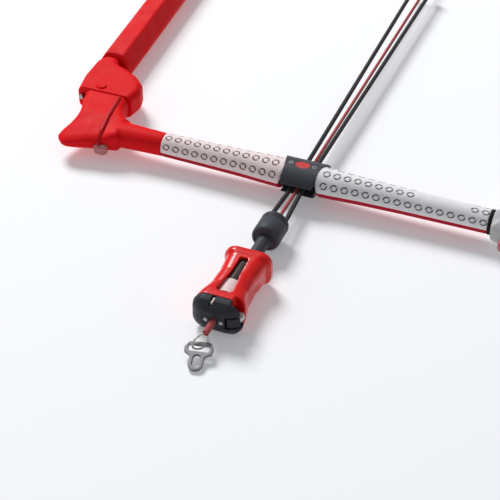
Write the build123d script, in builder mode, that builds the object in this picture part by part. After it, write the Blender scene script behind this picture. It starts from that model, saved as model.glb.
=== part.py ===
"""Kite control bar with its line set, swivel, push-away release and leash plate.

Units are millimetres. +X runs along the bar to the right, +Y towards the kite and +Z up.
The bar lies flat: the origin is under the middle of the object, on the surface it rests on.
"""
from build123d import *
from math import cos, pi, radians, sin, tan
import os

os.makedirs("parts", exist_ok=True)

# ---------------------------------------------------------------- driving dimensions
BAR_Z = 21.5                # height of the bar's axis above the resting surface
LINE_DROP = 3.5             # the lines run this far below the bar's axis
LINE_Z = BAR_Z - LINE_DROP
TUBE_RADIUS = 8.5
TUBE_WALL = 1.5
TUBE_INNER_X = 17.0
LEFT_GRIP_END = 151.0
RIGHT_GRIP_END = 192.0
CENTER_HALF_DEPTH = 22.0    # half size of the centre piece along Y
CENTER_HALF_HEIGHT = 15.3
THROAT_HALF_WIDTH = 13.4
THROAT_HALF_HEIGHT = 4.2
MOUTH_HALF_WIDTH = 23.0
MOUTH_HALF_HEIGHT = 6.2
SCREW_X = 12.5
END_HALF_THICKNESS = 12.4
HEAD_HALF_THICKNESS = 13.6
OUTLET_X = 266.0            # where the steering line leaves the head
OUTLET_Y = 100.0
FLOAT_RADIUS = 21.0         # across the corners of the six-sided float
FLOAT_LENGTH = 300.0
FLOAT_SPLAY = 4.0           # degrees that each float points outwards
LEADER_LENGTH = 34.0        # free length of the leader line beyond the float
KNOT_RADIUS = 5.0
LINE_RADIUS = 2.3
SAFETY_RADIUS = 1.7
SWIVEL_TOP = 73.0           # distances towards the rider, from the bar's axis
SWIVEL_LENGTH = 30.0
SWIVEL_RADIUS = 14.2
SHAFT_RADIUS = 6.5
SLEEVE_TOP = 139.0
SLEEVE_BOTTOM = 212.0
BASE_TOP = 200.0
BASE_TIP = 227.0
BASE_HALF_WIDTH = 24.3
BASE_HALF_HEIGHT = LINE_Z
STUB_RADIUS = 3.0
STUB_END = 244.0
RING_HINGE = 250.0
RING_HINGE_X = -2.5
RING_HINGE_HEIGHT = 9.5     # height of the leash plate's upper bar above the resting surface
RING_TILT = 16.0            # degrees that the plate droops
RING_YAW = 11.0             # degrees that the plate is turned on the surface
RING_LENGTH = 27.5
RING_THICKNESS = 3.0
FIT = 0.05                  # radial clearance of a running fit
GAP = 0.3                   # clearance between pieces that move past each other

# The bar's place along Y puts the origin half way between the leash plate and the floats' ends.
FLOAT_END_Y = OUTLET_Y + FLOAT_LENGTH * cos(radians(FLOAT_SPLAY)) + 1.4
RING_TIP = RING_HINGE + 26.6
BAR_Y = (RING_TIP - FLOAT_END_Y) / 2

HANDS = (("left", -1), ("right", 1))


# ---------------------------------------------------------------- planes
def across(x):
    """Plane square to the bar at x; its own x runs along +Y and its own y along +Z."""
    return Plane(origin=(x, BAR_Y, BAR_Z), x_dir=(0, 1, 0), z_dir=(1, 0, 0))


def rider(reach):
    """Plane square to the line axis, this far towards the rider; +X right, +Z up."""
    return Plane(origin=(0, BAR_Y - reach, LINE_Z), x_dir=(1, 0, 0), z_dir=(0, -1, 0))


def level(z):
    """Level plane at this height from the bar's axis, with its origin over the bar's middle."""
    return Plane((0, BAR_Y, BAR_Z + z))


line_level = Plane((0, BAR_Y, LINE_Z))


def save(piece, name):
    """Label a finished piece and write its STEP file."""
    piece.part.label = name
    export_step(piece.part, f"parts/{name}.step")


# ---------------------------------------------------------------- centre piece
center_axis_tilt = 35       # the side edges of the centre piece are cut along this direction
side_plane = Plane(
    origin=(0, BAR_Y, BAR_Z),
    x_dir=(1, 0, 0),
    z_dir=(0, sin(radians(center_axis_tilt)), -cos(radians(center_axis_tilt))),
)

with BuildPart() as center_shape:
    with BuildSketch(across(-30)):
        Ellipse(CENTER_HALF_DEPTH, CENTER_HALF_HEIGHT)
    extrude(amount=60)
    with BuildSketch(side_plane):
        with BuildLine():
            right_side = Spline((18, 26), (16.5, 6), (18.5, -8), (25.5, -26))
            Line(right_side @ 1, (-25.5, -26))
            left_side = Spline((-25.5, -26), (-18.5, -8), (-16.5, 6), (-18, 26))
            Line(left_side @ 1, right_side @ 0)
        make_face()
    extrude(amount=30, both=True, mode=Mode.INTERSECT)

COVER_SPLIT = 4.0           # height of the joint between housing and cover
LINER_WALL = 1.0


with BuildPart() as throat:
    for start, width, height in (
        (-CENTER_HALF_DEPTH - 1, THROAT_HALF_WIDTH + 3, THROAT_HALF_HEIGHT + 2),
        (-6, THROAT_HALF_WIDTH + LINER_WALL, THROAT_HALF_HEIGHT + LINER_WALL),
    ):
        with BuildSketch(rider(start)):
            RectangleRounded(2 * width, 2 * height, 4.5)
    loft()
    with BuildSketch(rider(-6)):
        RectangleRounded(
            2 * (THROAT_HALF_WIDTH + LINER_WALL), 2 * (THROAT_HALF_HEIGHT + LINER_WALL), 4.5
        )
    extrude(amount=10)
    for start, width, height in (
        (4, THROAT_HALF_WIDTH + LINER_WALL, THROAT_HALF_HEIGHT + LINER_WALL),
        (CENTER_HALF_DEPTH + 1, MOUTH_HALF_WIDTH, MOUTH_HALF_HEIGHT),
    ):
        with BuildSketch(rider(start)):
            RectangleRounded(2 * width, 2 * height, 4.5)
    loft()


SCREW_RADIUS = 1.5
SCREW_HEAD_RADIUS = 2.6
SCREW_LENGTH = 9.0
INLAY_DEPTH = 1.0

with BuildPart() as center_housing:
    add(center_shape.part)
    split(bisect_by=level(COVER_SPLIT), keep=Keep.BOTTOM)
    add(throat.part, mode=Mode.SUBTRACT)
    for end in (-1, 1):
        with BuildSketch(across(end * TUBE_INNER_X)):
            Circle(TUBE_RADIUS)
        extrude(amount=end * 20, mode=Mode.SUBTRACT)
save(center_housing, "center_housing")

with BuildPart() as center_cover:
    add(center_shape.part)
    split(bisect_by=level(COVER_SPLIT), keep=Keep.TOP)
    for end in (-1, 1):
        with BuildSketch(across(end * TUBE_INNER_X)):
            Circle(TUBE_RADIUS)
        extrude(amount=end * 20, mode=Mode.SUBTRACT)
    with BuildSketch(level(CENTER_HALF_HEIGHT - 0.4)):
        with Locations((-SCREW_X, 0), (SCREW_X, 0)):
            Circle(SCREW_HEAD_RADIUS)
    extrude(amount=3, mode=Mode.SUBTRACT)
    with BuildSketch(level(CENTER_HALF_HEIGHT - SCREW_LENGTH)):
        with Locations((-SCREW_X, 0), (SCREW_X, 0)):
            Circle(SCREW_RADIUS)
    extrude(amount=SCREW_LENGTH, mode=Mode.SUBTRACT)
    with BuildSketch(level(CENTER_HALF_HEIGHT - INLAY_DEPTH)):
        Ellipse(7.5, 5.2)
    extrude(amount=3, mode=Mode.SUBTRACT)
save(center_cover, "center_cover")

with BuildPart() as center_screws:
    with BuildSketch(level(CENTER_HALF_HEIGHT - SCREW_LENGTH)):
        with Locations((-SCREW_X, 0), (SCREW_X, 0)):
            Circle(SCREW_RADIUS)
    extrude(amount=SCREW_LENGTH - 0.4)
    with BuildSketch(level(CENTER_HALF_HEIGHT - 0.4)):
        with Locations((-SCREW_X, 0), (SCREW_X, 0)):
            Circle(SCREW_HEAD_RADIUS)
    extrude(amount=0.5)
    with BuildSketch(level(CENTER_HALF_HEIGHT - 0.5)):
        with Locations((-SCREW_X, 0), (SCREW_X, 0)):
            RegularPolygon(1.1, 6)
    extrude(amount=1, mode=Mode.SUBTRACT)
save(center_screws, "center_screws")

with BuildPart() as center_inlay:
    with BuildSketch(level(CENTER_HALF_HEIGHT - INLAY_DEPTH)):
        Ellipse(7.5, 5.2)
    extrude(amount=INLAY_DEPTH)
    add(center_shape.part, mode=Mode.INTERSECT)
save(center_inlay, "center_inlay")

with BuildPart() as throat_liner:
    with BuildSketch(rider(-6)):
        RectangleRounded(
            2 * (THROAT_HALF_WIDTH + LINER_WALL), 2 * (THROAT_HALF_HEIGHT + LINER_WALL), 4.5
        )
    extrude(amount=10)
    with BuildSketch(rider(-6)):
        RectangleRounded(2 * THROAT_HALF_WIDTH, 2 * THROAT_HALF_HEIGHT, 3.4)
    extrude(amount=10, mode=Mode.SUBTRACT)
save(throat_liner, "throat_liner")


# ---------------------------------------------------------------- tubes and grips
GRIP_SPLIT = -2.6           # height of the joint between the light and the dark grip shell
GRIP_SHAPE = ((16, 17.2, 14.6), (36, 16.2, 14.3), (62, 14.2, 13.9), (105, 13.0, 13.0))
GRIP_END_RADIUS = 12.2
grip_ends = {"left": LEFT_GRIP_END, "right": RIGHT_GRIP_END}


def make_tube(side, hand):
    """Aluminium tube from its socket in the centre piece to inside the bar end."""
    with BuildPart() as tube:
        with BuildSketch(across(hand * TUBE_INNER_X)):
            Circle(TUBE_RADIUS)
            Circle(TUBE_RADIUS - TUBE_WALL, mode=Mode.SUBTRACT)
        extrude(amount=hand * (208 - TUBE_INNER_X))
    save(tube, f"core_tube_{side}")


def make_grips(side, hand):
    """Upper and lower foam shells round the tube, waisted towards the bar end."""
    end = grip_ends[side]
    sections = list(GRIP_SHAPE) + [(end, GRIP_END_RADIUS, GRIP_END_RADIUS)]
    for shell, keep in (("upper", Keep.TOP), ("lower", Keep.BOTTOM)):
        with BuildPart() as grip:
            for x, half_depth, half_height in sections:
                with BuildSketch(across(hand * x)):
                    Ellipse(half_depth, half_height)
            loft()
            with BuildSketch(across(hand * 10)):
                Circle(TUBE_RADIUS)
            extrude(amount=hand * (end + 10), mode=Mode.SUBTRACT)
            add(center_shape.part, mode=Mode.SUBTRACT)
            split(bisect_by=level(GRIP_SPLIT), keep=keep)
        save(grip, f"grip_{shell}_{side}")


# ---------------------------------------------------------------- bar ends
NECK_TOP_Y = 48.0           # where the neck meets the head
END_INNER_X = {"left": LEFT_GRIP_END, "right": RIGHT_GRIP_END + 3}
END_OUTLINE_X = 196.0
TUBE_OUTER_X = 208.0
PLUG_RADIUS = 6.0
EDGE_ROUNDING = 8.5
BOSS_X, BOSS_Y, BOSS_RADIUS = 251.5, 57.0, 5.0
PIN_X, PIN_Z, PIN_RADIUS = 270.5, 3.0, 2.6
STRAP_RADIUS = 1.4
KNOB_X, KNOB_Y, KNOB_Z = 213.5, -24.6, -5.5
NEST_RADIUS = 20.0          # round nose of the head, which sits in the float's hollow end
FLOAT_START = 13.0
FLOAT_DROP = BAR_Z - FLOAT_RADIUS * cos(radians(30))
LEADER_RADIUS = 2.0

# Plan of the horn and the neck, and of the head: (out along the bar, towards the kite).
END_PLAN = (
    (END_OUTLINE_X, 14.5), (204, 18), (213, 32), (216, NECK_TOP_Y), (267, NECK_TOP_Y), (264, 38),
    (255, 10), (262, -14), (263, -28), (254, -36), (236, -31), (211, -23.5), (END_OUTLINE_X, -17),
)
END_PLAN_RADII = (0, 10, 24, 0, 0, 30, 24, 10, 8, 8, 30, 60, 0)
HEAD_PLAN = (
    (213, NECK_TOP_Y), (210, 66), (214, 80), (226, 92), (244, 102), (256, 107), (262, 118.5),
    (276, 118.5), (282, 106), (281, 74), (276, NECK_TOP_Y),
)
HEAD_PLAN_RADII = (0, 16, 12, 14, 20, 4, 6, 6, 8, 40, 0)
STRAP_ROUTE = (
    (225, 46, 12.6), (220, 12, 12.7), (217.5, -12, 12.2), (216, -24.5, 5), (214, -25, -6),
    (210, -17, -13.2), (206, -8, -14.0),
)


def corner_radii(points):
    """Largest arcs that a route's straight runs leave room for."""
    radii = []
    for before, here, after in zip(points, points[1:], points[2:]):
        run_in = Vector(*here) - Vector(*before)
        run_out = Vector(*after) - Vector(*here)
        half_turn = radians(run_in.get_angle(run_out) / 2)
        radii.append(0.45 * min(run_in.length, run_out.length) / tan(half_turn))
    return radii


def cord_tube(points, radius, name):
    """Sweep a round cord along a route of straight runs joined by tangent arcs."""
    radii = corner_radii(points)
    print(name, "arc radii", [round(value, 1) for value in radii])
    with BuildPart() as cord:
        with BuildLine() as path:
            FilletPolyline(*points, radius=radii)
        with BuildSketch(Plane(origin=path.line @ 0, z_dir=path.line % 0)):
            Circle(radius)
        sweep()
    print(name, "volume over section times length",
          round(cord.part.volume / (pi * radius**2 * path.wires()[0].length), 4))
    return cord


def bar_points(hand, route):
    """A route given as (out along the bar, towards the kite, up from the bar's axis)."""
    return [(hand * x, BAR_Y + y, BAR_Z + z) for x, y, z in route]


def make_end(side, hand):
    """Rubber bar end: the taper over the tube, the winding horn and the neck."""
    inner = END_INNER_X[side]
    strap = cord_tube(bar_points(hand, STRAP_ROUTE), STRAP_RADIUS, f"strap_{side}")
    save(strap, f"strap_{side}")
    with BuildPart() as end_body:
        with BuildSketch(level(0)):
            with BuildLine():
                FilletPolyline(
                    *[(hand * x, y) for x, y in END_PLAN], radius=END_PLAN_RADII, close=True
                )
            make_face()
        extrude(amount=END_HALF_THICKNESS, both=True)
        rims = end_body.edges().group_by(Axis.Z)
        fillet((rims[0] + rims[-1]).filter_by_position(
            Axis.Y, BAR_Y - 100, BAR_Y + NECK_TOP_Y - 0.1), radius=EDGE_ROUNDING)
        with BuildSketch(across(hand * inner)):
            Circle(GRIP_END_RADIUS)
        with BuildSketch(across(hand * (END_OUTLINE_X + 1))):
            Ellipse(15.5, END_HALF_THICKNESS - 0.2)
        with BuildSketch(across(hand * (END_OUTLINE_X + 12))):
            Ellipse(18, END_HALF_THICKNESS)
        loft(ruled=True)
        with BuildSketch(across(hand * (inner - 1))):
            Circle(TUBE_RADIUS)
        extrude(amount=hand * (TUBE_OUTER_X + 1 - inner), mode=Mode.SUBTRACT)
        with BuildSketch(across(hand * TUBE_OUTER_X)):
            Circle(PLUG_RADIUS)
        extrude(amount=hand * 8, mode=Mode.SUBTRACT)
        with BuildSketch(Plane((hand * PIN_X, BAR_Y + NECK_TOP_Y - 10, BAR_Z + PIN_Z), z_dir=(0, 1, 0))):
            Circle(PIN_RADIUS + 1.5)
        extrude(amount=10, mode=Mode.SUBTRACT)
        add(strap.part, mode=Mode.SUBTRACT)
    save(end_body, f"end_body_{side}")

    with BuildPart() as end_plug:
        with BuildSketch(across(hand * (TUBE_OUTER_X - 14))):
            Circle(TUBE_RADIUS - TUBE_WALL)
        extrude(amount=hand * 14)
        with BuildSketch(across(hand * TUBE_OUTER_X)):
            Circle(PLUG_RADIUS)
        extrude(amount=hand * 8)
    save(end_plug, f"end_plug_{side}")

    with BuildPart() as strap_knob:
        with BuildSketch(level(KNOB_Z)):
            with Locations((hand * KNOB_X, KNOB_Y)):
                SlotOverall(15, 10)
        extrude(amount=5.6, both=True)
        fillet(strap_knob.edges().filter_by(GeomType.CIRCLE), radius=3.0)
        add(end_body.part, mode=Mode.SUBTRACT)
        add(strap.part, mode=Mode.SUBTRACT)
    save(strap_knob, f"strap_knob_{side}")


def make_head(side, hand):
    """Head of the bar end, its round boss and the pin under it."""
    pin_plane = Plane(
        origin=(hand * PIN_X, BAR_Y + NECK_TOP_Y - 5, BAR_Z + PIN_Z), z_dir=(0, 1, 0)
    )
    boss_plane = Plane((hand * BOSS_X, BAR_Y + BOSS_Y, BAR_Z + HEAD_HALF_THICKNESS - 3))
    with BuildPart() as outlet_head:
        with BuildSketch(level(0)):
            with BuildLine():
                FilletPolyline(
                    *[(hand * x, y) for x, y in HEAD_PLAN], radius=HEAD_PLAN_RADII, close=True
                )
            make_face()
        extrude(amount=HEAD_HALF_THICKNESS, both=True)
        rims = outlet_head.edges().group_by(Axis.Z)
        fillet((rims[0] + rims[-1]).filter_by_position(
            Axis.Y, BAR_Y + NECK_TOP_Y + 0.1, BAR_Y + 200), radius=7)
        with BuildSketch(pin_plane):
            Circle(PIN_RADIUS)
        extrude(amount=12, mode=Mode.SUBTRACT)
        with BuildSketch(boss_plane):
            Circle(BOSS_RADIUS)
        extrude(amount=10, mode=Mode.SUBTRACT)
    save(outlet_head, f"outlet_head_{side}")

    with BuildPart() as leader_pin:
        with BuildSketch(pin_plane):
            Circle(PIN_RADIUS)
        extrude(amount=12)
        chamfer(leader_pin.edges().group_by(Axis.Y)[0], length=0.5)
    save(leader_pin, f"leader_pin_{side}")

    with BuildPart() as head_screw:
        with BuildSketch(boss_plane):
            Circle(BOSS_RADIUS)
        extrude(amount=4.2)
        fillet(head_screw.edges().group_by(Axis.Z)[-1], radius=1.0)
    save(head_screw, f"head_screw_{side}")


def make_float(side, hand):
    """Six-sided foam float with a hollow end, its leader line and the end knot."""
    splay = radians(FLOAT_SPLAY)
    direction = Vector(hand * sin(splay), cos(splay), 0)
    pivot = Vector(hand * OUTLET_X, BAR_Y + OUTLET_Y, BAR_Z - FLOAT_DROP)
    crossways = Vector(cos(splay), -hand * sin(splay), 0)

    def station(distance):
        """Plane square to the float at this distance from the head's outlet."""
        return Plane(origin=pivot + direction * distance, x_dir=crossways, z_dir=direction)

    with BuildPart() as foam:
        with BuildSketch(station(FLOAT_START)) as foam_section:
            RegularPolygon(FLOAT_RADIUS, 6)
            fillet(foam_section.vertices(), radius=3.5)
        extrude(amount=FLOAT_LENGTH - FLOAT_START)
        with BuildSketch(station(0)):
            Circle(LEADER_RADIUS + GAP)
        extrude(amount=FLOAT_LENGTH + 10, mode=Mode.SUBTRACT)
        with Locations(pivot):
            Cylinder(NEST_RADIUS + 1, 2 * FLOAT_RADIUS, mode=Mode.SUBTRACT)
    save(foam, f"float_{side}")

    with BuildPart() as leader:
        with BuildSketch(station(NEST_RADIUS + 2)):
            Circle(LEADER_RADIUS)
        extrude(amount=FLOAT_LENGTH + LEADER_LENGTH - NEST_RADIUS - 2)
    save(leader, f"leader_line_{side}")

    with BuildPart() as knot:
        with Locations(pivot + direction * (FLOAT_LENGTH + LEADER_LENGTH + KNOT_RADIUS * 0.8)):
            Sphere(KNOT_RADIUS)
        add(leader.part, mode=Mode.SUBTRACT)
    save(knot, f"leader_knot_{side}")


for side, hand in HANDS:
    make_tube(side, hand)
    make_grips(side, hand)
    make_end(side, hand)
    make_head(side, hand)
    make_float(side, hand)

with BuildPart() as end_collar_right:
    with BuildSketch(across(RIGHT_GRIP_END)):
        Circle(GRIP_END_RADIUS + 0.4)
        Circle(TUBE_RADIUS, mode=Mode.SUBTRACT)
    extrude(amount=END_INNER_X["right"] - RIGHT_GRIP_END)
save(end_collar_right, "end_collar_right")


# ---------------------------------------------------------------- lines and swivel
LINE_HOLE_X = 8.8           # where the black lines enter the swivel barrel
LINE_WAIST_X = 5.0          # their distance from the axis where they pass the bar
LINE_TOP_X = 10.6
LINE_TOP_Y = 424.0
LINE_HOLE_DEPTH = 10.0
CAVITY_TOP = SWIVEL_TOP + 12.5
CAVITY_RADIUS = 11.0
RETAINER_TOP = SWIVEL_TOP + 25.0
RETAINER_LENGTH = 4.0
SHAFT_HEAD_LENGTH = 3.5
KNOT_BALL_RADIUS = 4.6
SAFETY_TOP_Y = LINE_TOP_Y + 44


def line_points(hand):
    """Route of one black line: pinched together where it runs through the centre piece."""
    places = (
        (LINE_HOLE_X, -SWIVEL_TOP - 6), (LINE_WAIST_X, -4), (LINE_TOP_X, LINE_TOP_Y),
    )
    return [(hand * x, BAR_Y + y, LINE_Z) for x, y in places]


for side, hand in HANDS:
    line = cord_tube(line_points(hand), LINE_RADIUS, f"depower_line_{side}")
    save(line, f"depower_line_{side}")
    with BuildPart() as line_knot:
        with Locations((hand * LINE_TOP_X, BAR_Y + LINE_TOP_Y + KNOT_BALL_RADIUS * 0.8, LINE_Z)):
            Sphere(KNOT_BALL_RADIUS)
        add(line.part, mode=Mode.SUBTRACT)
    save(line_knot, f"line_knot_{side}")

with BuildPart() as swivel_housing:
    with BuildSketch(rider(SWIVEL_TOP)):
        Circle(SWIVEL_RADIUS)
    extrude(amount=SWIVEL_LENGTH)
    fillet(swivel_housing.edges().filter_by(GeomType.CIRCLE), radius=3.2)
    with BuildSketch(rider(CAVITY_TOP)):
        Circle(CAVITY_RADIUS)
    extrude(amount=SWIVEL_LENGTH, mode=Mode.SUBTRACT)
    with BuildSketch(rider(SWIVEL_TOP)):
        Circle(SAFETY_RADIUS + 0.8)
    extrude(amount=SWIVEL_LENGTH, mode=Mode.SUBTRACT)
    with BuildSketch(rider(SWIVEL_TOP)):
        with Locations((-LINE_HOLE_X, 0), (LINE_HOLE_X, 0)):
            Circle(LINE_RADIUS + 0.6)
    extrude(amount=LINE_HOLE_DEPTH, mode=Mode.SUBTRACT)
save(swivel_housing, "swivel_housing")

with BuildPart() as swivel_retainer:
    with BuildSketch(rider(RETAINER_TOP)):
        Circle(CAVITY_RADIUS)
        Circle(SHAFT_RADIUS + FIT, mode=Mode.SUBTRACT)
    extrude(amount=RETAINER_LENGTH)
save(swivel_retainer, "swivel_retainer")

WASHER_LENGTH = 2.0
with BuildPart() as swivel_washer:
    with BuildSketch(rider(RETAINER_TOP - WASHER_LENGTH)):
        Circle(CAVITY_RADIUS - GAP)
        Circle(SHAFT_RADIUS + GAP, mode=Mode.SUBTRACT)
    extrude(amount=WASHER_LENGTH)
save(swivel_washer, "swivel_washer")

# ---------------------------------------------------------------- release unit
CORE_TOP = 148.0
CORE_RADIUS = 9.0
CORE_BOTTOM = 208.0
COLLAR_LENGTH = 4.0
COLLAR_RADIUS = 13.3
SLEEVE_BORE = 13.6
SLEEVE_WALL_END = 147.0
LEDGE_TOP, LEDGE_BOTTOM = 177.0, 180.0
SHAFT_BOTTOM = 160.0
STUB_BORE = STUB_RADIUS + 0.4
SPRING_RADIUS = 11.3
SPRING_WIRE = 0.8
SPRING_TURNS = 4
# Sections of the sleeve: (distance to the rider, half width, half height).
SLEEVE_SHAPE = (
    (SLEEVE_TOP, 21.8, 16.2), (141, 23.2, 17.3), (145.5, 23.2, 17.3), (150, 19.8, 16.4),
    (170, 18.4, 15.6), (190, 19.2, 15.8), (204, 22.4, 17.2), (SLEEVE_BOTTOM, 23.4, 17.5),
)
# Sections of the base: (distance to the rider, half width, half height).
BASE_SHAPE = (
    (SLEEVE_BOTTOM + GAP, 23.6, 17.4), (216, BASE_HALF_WIDTH, BASE_HALF_HEIGHT), (220, 23.0, 17.0),
    (224.5, 17.5, 13.0), (BASE_TIP, 12.0, 9.0),
)
SLEEVE_CORNER = 11.0
NECK_RADIUS = 13.2
CUFF_TOP, CUFF_BOTTOM = 181.0, 199.0
PLATE_FLOOR = 7.0           # the plates in the window stay above this height
WINDOW = (
    (-4.0, 152.5), (4.0, 152.5), (4.6, 176), (8.4, 200), (5.5, 204), (-5.5, 204), (-8.4, 200),
    (-4.6, 176),
)
WINDOW_RADII = (2, 2, 20, 2, 3, 3, 2, 20)
BALL_X, BALL_REACH, BALL_RADIUS = 19.0, 213.2, 5.4
STEM_RADIUS = 2.5
RECESS_X, RECESS_TOP = 13.0, 207.0
RECESS_HALF_HEIGHT = 6.6
LATCH_X, LATCH_REACH = 13.6, 222.3
LATCH_RADIUS = 2.9
LATCH_HALF_HEIGHT = 5.0
LATCH_PIN_RADIUS = 1.5
LATCH_PIN_HALF_LENGTH = 10.0
SLOT_X = -4.0
EXIT_PIN_X = 7.4
SCREW_PLACES = ((-17.5, 8.5), (-13.5, 13.5))

with BuildPart() as swivel_shaft:
    with BuildSketch(rider(RETAINER_TOP - WASHER_LENGTH - GAP - SHAFT_HEAD_LENGTH)):
        Circle(CAVITY_RADIUS - 0.6)
    extrude(amount=SHAFT_HEAD_LENGTH)
    with BuildSketch(rider(RETAINER_TOP - WASHER_LENGTH - GAP)):
        Circle(SHAFT_RADIUS)
    extrude(amount=SHAFT_BOTTOM - RETAINER_TOP + WASHER_LENGTH + GAP)
    with BuildSketch(rider(SWIVEL_TOP)):
        Circle(SAFETY_RADIUS + 0.8)
    extrude(amount=100, mode=Mode.SUBTRACT)
save(swivel_shaft, "swivel_shaft")

with BuildPart() as release_core:
    with BuildSketch(rider(CORE_TOP)):
        Circle(CORE_RADIUS)
    extrude(amount=CORE_BOTTOM - CORE_TOP)
    with BuildSketch(rider(CORE_TOP)):
        Circle(SHAFT_RADIUS)
    extrude(amount=SHAFT_BOTTOM - CORE_TOP, mode=Mode.SUBTRACT)
    with BuildSketch(rider(CORE_TOP)):
        Circle(STUB_BORE)
    extrude(amount=CORE_BOTTOM - CORE_TOP, mode=Mode.SUBTRACT)
save(release_core, "release_core")

with BuildPart() as core_collar:
    with BuildSketch(rider(CORE_TOP)):
        Circle(COLLAR_RADIUS)
        Circle(CORE_RADIUS, mode=Mode.SUBTRACT)
    extrude(amount=COLLAR_LENGTH)
save(core_collar, "core_collar")

# Room over the spring for the two plates that show in the sleeve's window.
with BuildSketch() as plate_way:
    Circle(SLEEVE_BORE)
    with Locations((0, PLATE_FLOOR - 20)):
        Rectangle(40, 40, mode=Mode.SUBTRACT)
plate_way = plate_way.sketch

with BuildPart() as window_plate:
    with BuildSketch(rider(CUFF_TOP)):
        Circle(SLEEVE_BORE - GAP)
        Circle(CORE_RADIUS, mode=Mode.SUBTRACT)
    extrude(amount=CUFF_BOTTOM - CUFF_TOP)
save(window_plate, "window_plate")

with BuildPart() as spring_cover:
    with BuildSketch(rider(CORE_TOP + COLLAR_LENGTH)):
        Circle(SLEEVE_BORE - GAP)
        Circle(SLEEVE_BORE - 1.2, mode=Mode.SUBTRACT)
        with Locations((0, PLATE_FLOOR + GAP - 20)):
            Rectangle(40, 40, mode=Mode.SUBTRACT)
    extrude(amount=CUFF_TOP - CORE_TOP - COLLAR_LENGTH)
save(spring_cover, "spring_cover")

with BuildPart() as release_sleeve:
    for reach, half_width, half_height in SLEEVE_SHAPE:
        with BuildSketch(rider(reach)):
            RectangleRounded(2 * half_width, 2 * half_height, SLEEVE_CORNER)
    loft(ruled=True)
    with BuildSketch(rider(SLEEVE_TOP - 1)):
        Circle(SHAFT_RADIUS + GAP)
    extrude(amount=20, mode=Mode.SUBTRACT)
    with BuildSketch(rider(SLEEVE_WALL_END)):
        Circle(SLEEVE_BORE)
    extrude(amount=LEDGE_TOP - SLEEVE_WALL_END, mode=Mode.SUBTRACT)
    with BuildSketch(rider(LEDGE_TOP)):
        Circle(CORE_RADIUS + GAP)
    extrude(amount=10, mode=Mode.SUBTRACT)
    with BuildSketch(rider(LEDGE_BOTTOM)):
        Circle(SLEEVE_BORE)
    extrude(amount=SLEEVE_BOTTOM, mode=Mode.SUBTRACT)
    with BuildSketch(rider(SLEEVE_WALL_END)):
        add(plate_way)
    extrude(amount=SLEEVE_BOTTOM, mode=Mode.SUBTRACT)
    with BuildSketch(line_level):
        with BuildLine():
            FilletPolyline(
                *[(x, -reach) for x, reach in WINDOW], radius=WINDOW_RADII, close=True
            )
        make_face()
    extrude(amount=30, mode=Mode.SUBTRACT)
    with BuildSketch(rider(RECESS_TOP - GAP)):
        with Locations((RECESS_X + 15 - GAP, 10)):
            RectangleRounded(30, 2 * RECESS_HALF_HEIGHT + 20, 3)
    extrude(amount=10, mode=Mode.SUBTRACT)
save(release_sleeve, "release_sleeve")

spring_length = LEDGE_TOP - CORE_TOP - COLLAR_LENGTH - 2 * SPRING_WIRE - 0.2
with BuildPart() as sleeve_spring:
    with BuildLine() as spring_path:
        Helix(
            pitch=spring_length / SPRING_TURNS,
            height=spring_length,
            radius=SPRING_RADIUS,
            center=(0, BAR_Y - CORE_TOP - COLLAR_LENGTH - SPRING_WIRE - 0.1, LINE_Z),
            direction=(0, -1, 0),
        )
    with BuildSketch(Plane(origin=spring_path.line @ 0, z_dir=spring_path.line % 0)):
        Circle(SPRING_WIRE)
    sweep(is_frenet=True)
save(sleeve_spring, "sleeve_spring")

with BuildPart() as base_shape:
    for reach, half_width, half_height in BASE_SHAPE:
        with BuildSketch(rider(reach)):
            RectangleRounded(2 * half_width, 2 * half_height, half_height * 0.68)
    loft(ruled=True)
    with BuildSketch(rider(BASE_TOP)):
        Circle(NECK_RADIUS)
    extrude(amount=SLEEVE_BOTTOM + 1 - BASE_TOP)

with BuildPart() as latch:
    add(base_shape.part)
    with BuildSketch(line_level):
        with Locations((LATCH_X, -LATCH_REACH)):
            Circle(LATCH_RADIUS)
        with Locations((LATCH_X + 10, -LATCH_REACH)):
            Rectangle(20, 2 * LATCH_RADIUS)
    extrude(amount=LATCH_HALF_HEIGHT, both=True, mode=Mode.INTERSECT)
    with BuildSketch(line_level):
        with Locations((LATCH_X, -LATCH_REACH)):
            Circle(LATCH_PIN_RADIUS + FIT)
    extrude(amount=LATCH_HALF_HEIGHT, both=True, mode=Mode.SUBTRACT)
save(latch, "latch")

with BuildPart() as latch_pivot:
    with BuildSketch(line_level):
        with Locations((LATCH_X, -LATCH_REACH)):
            Circle(LATCH_PIN_RADIUS)
    extrude(amount=LATCH_PIN_HALF_LENGTH, both=True)
save(latch_pivot, "latch_pivot")

with BuildPart() as lock_pin:
    with Locations((BALL_X, BAR_Y - BALL_REACH, LINE_Z)):
        Sphere(BALL_RADIUS)
    with BuildSketch(Plane((7, BAR_Y - BALL_REACH, LINE_Z), z_dir=(1, 0, 0))):
        Circle(STEM_RADIUS)
    extrude(amount=BALL_X - 7)
save(lock_pin, "lock_pin")

with BuildPart() as exit_pins:
    with BuildSketch(rider(220)):
        with Locations((-EXIT_PIN_X, 0), (EXIT_PIN_X, 0)):
            Circle(2.2)
    extrude(amount=BASE_TIP - 220 + 0.6)
    fillet(exit_pins.edges().group_by(Axis.Y)[0], radius=0.6)
save(exit_pins, "exit_pins")

with BuildPart() as base_screws:
    with BuildSketch(line_level.offset(-BASE_HALF_HEIGHT + 3.0)):
        with Locations(*[(x, -RECESS_TOP - y) for x, y in SCREW_PLACES]):
            Circle(2.2)
    extrude(amount=2.0)
    with BuildSketch(line_level.offset(-BASE_HALF_HEIGHT + 5.0)):
        with Locations(*[(x, -RECESS_TOP - y) for x, y in SCREW_PLACES]):
            Circle(1.2)
    extrude(amount=18)
save(base_screws, "base_screws")

with BuildPart() as indicator_strip:
    with Locations((SLOT_X, BAR_Y - 217.2, LINE_Z + 14.2)):
        Box(1.7, 7.6, 3.0)
save(indicator_strip, "indicator_strip")


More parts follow.
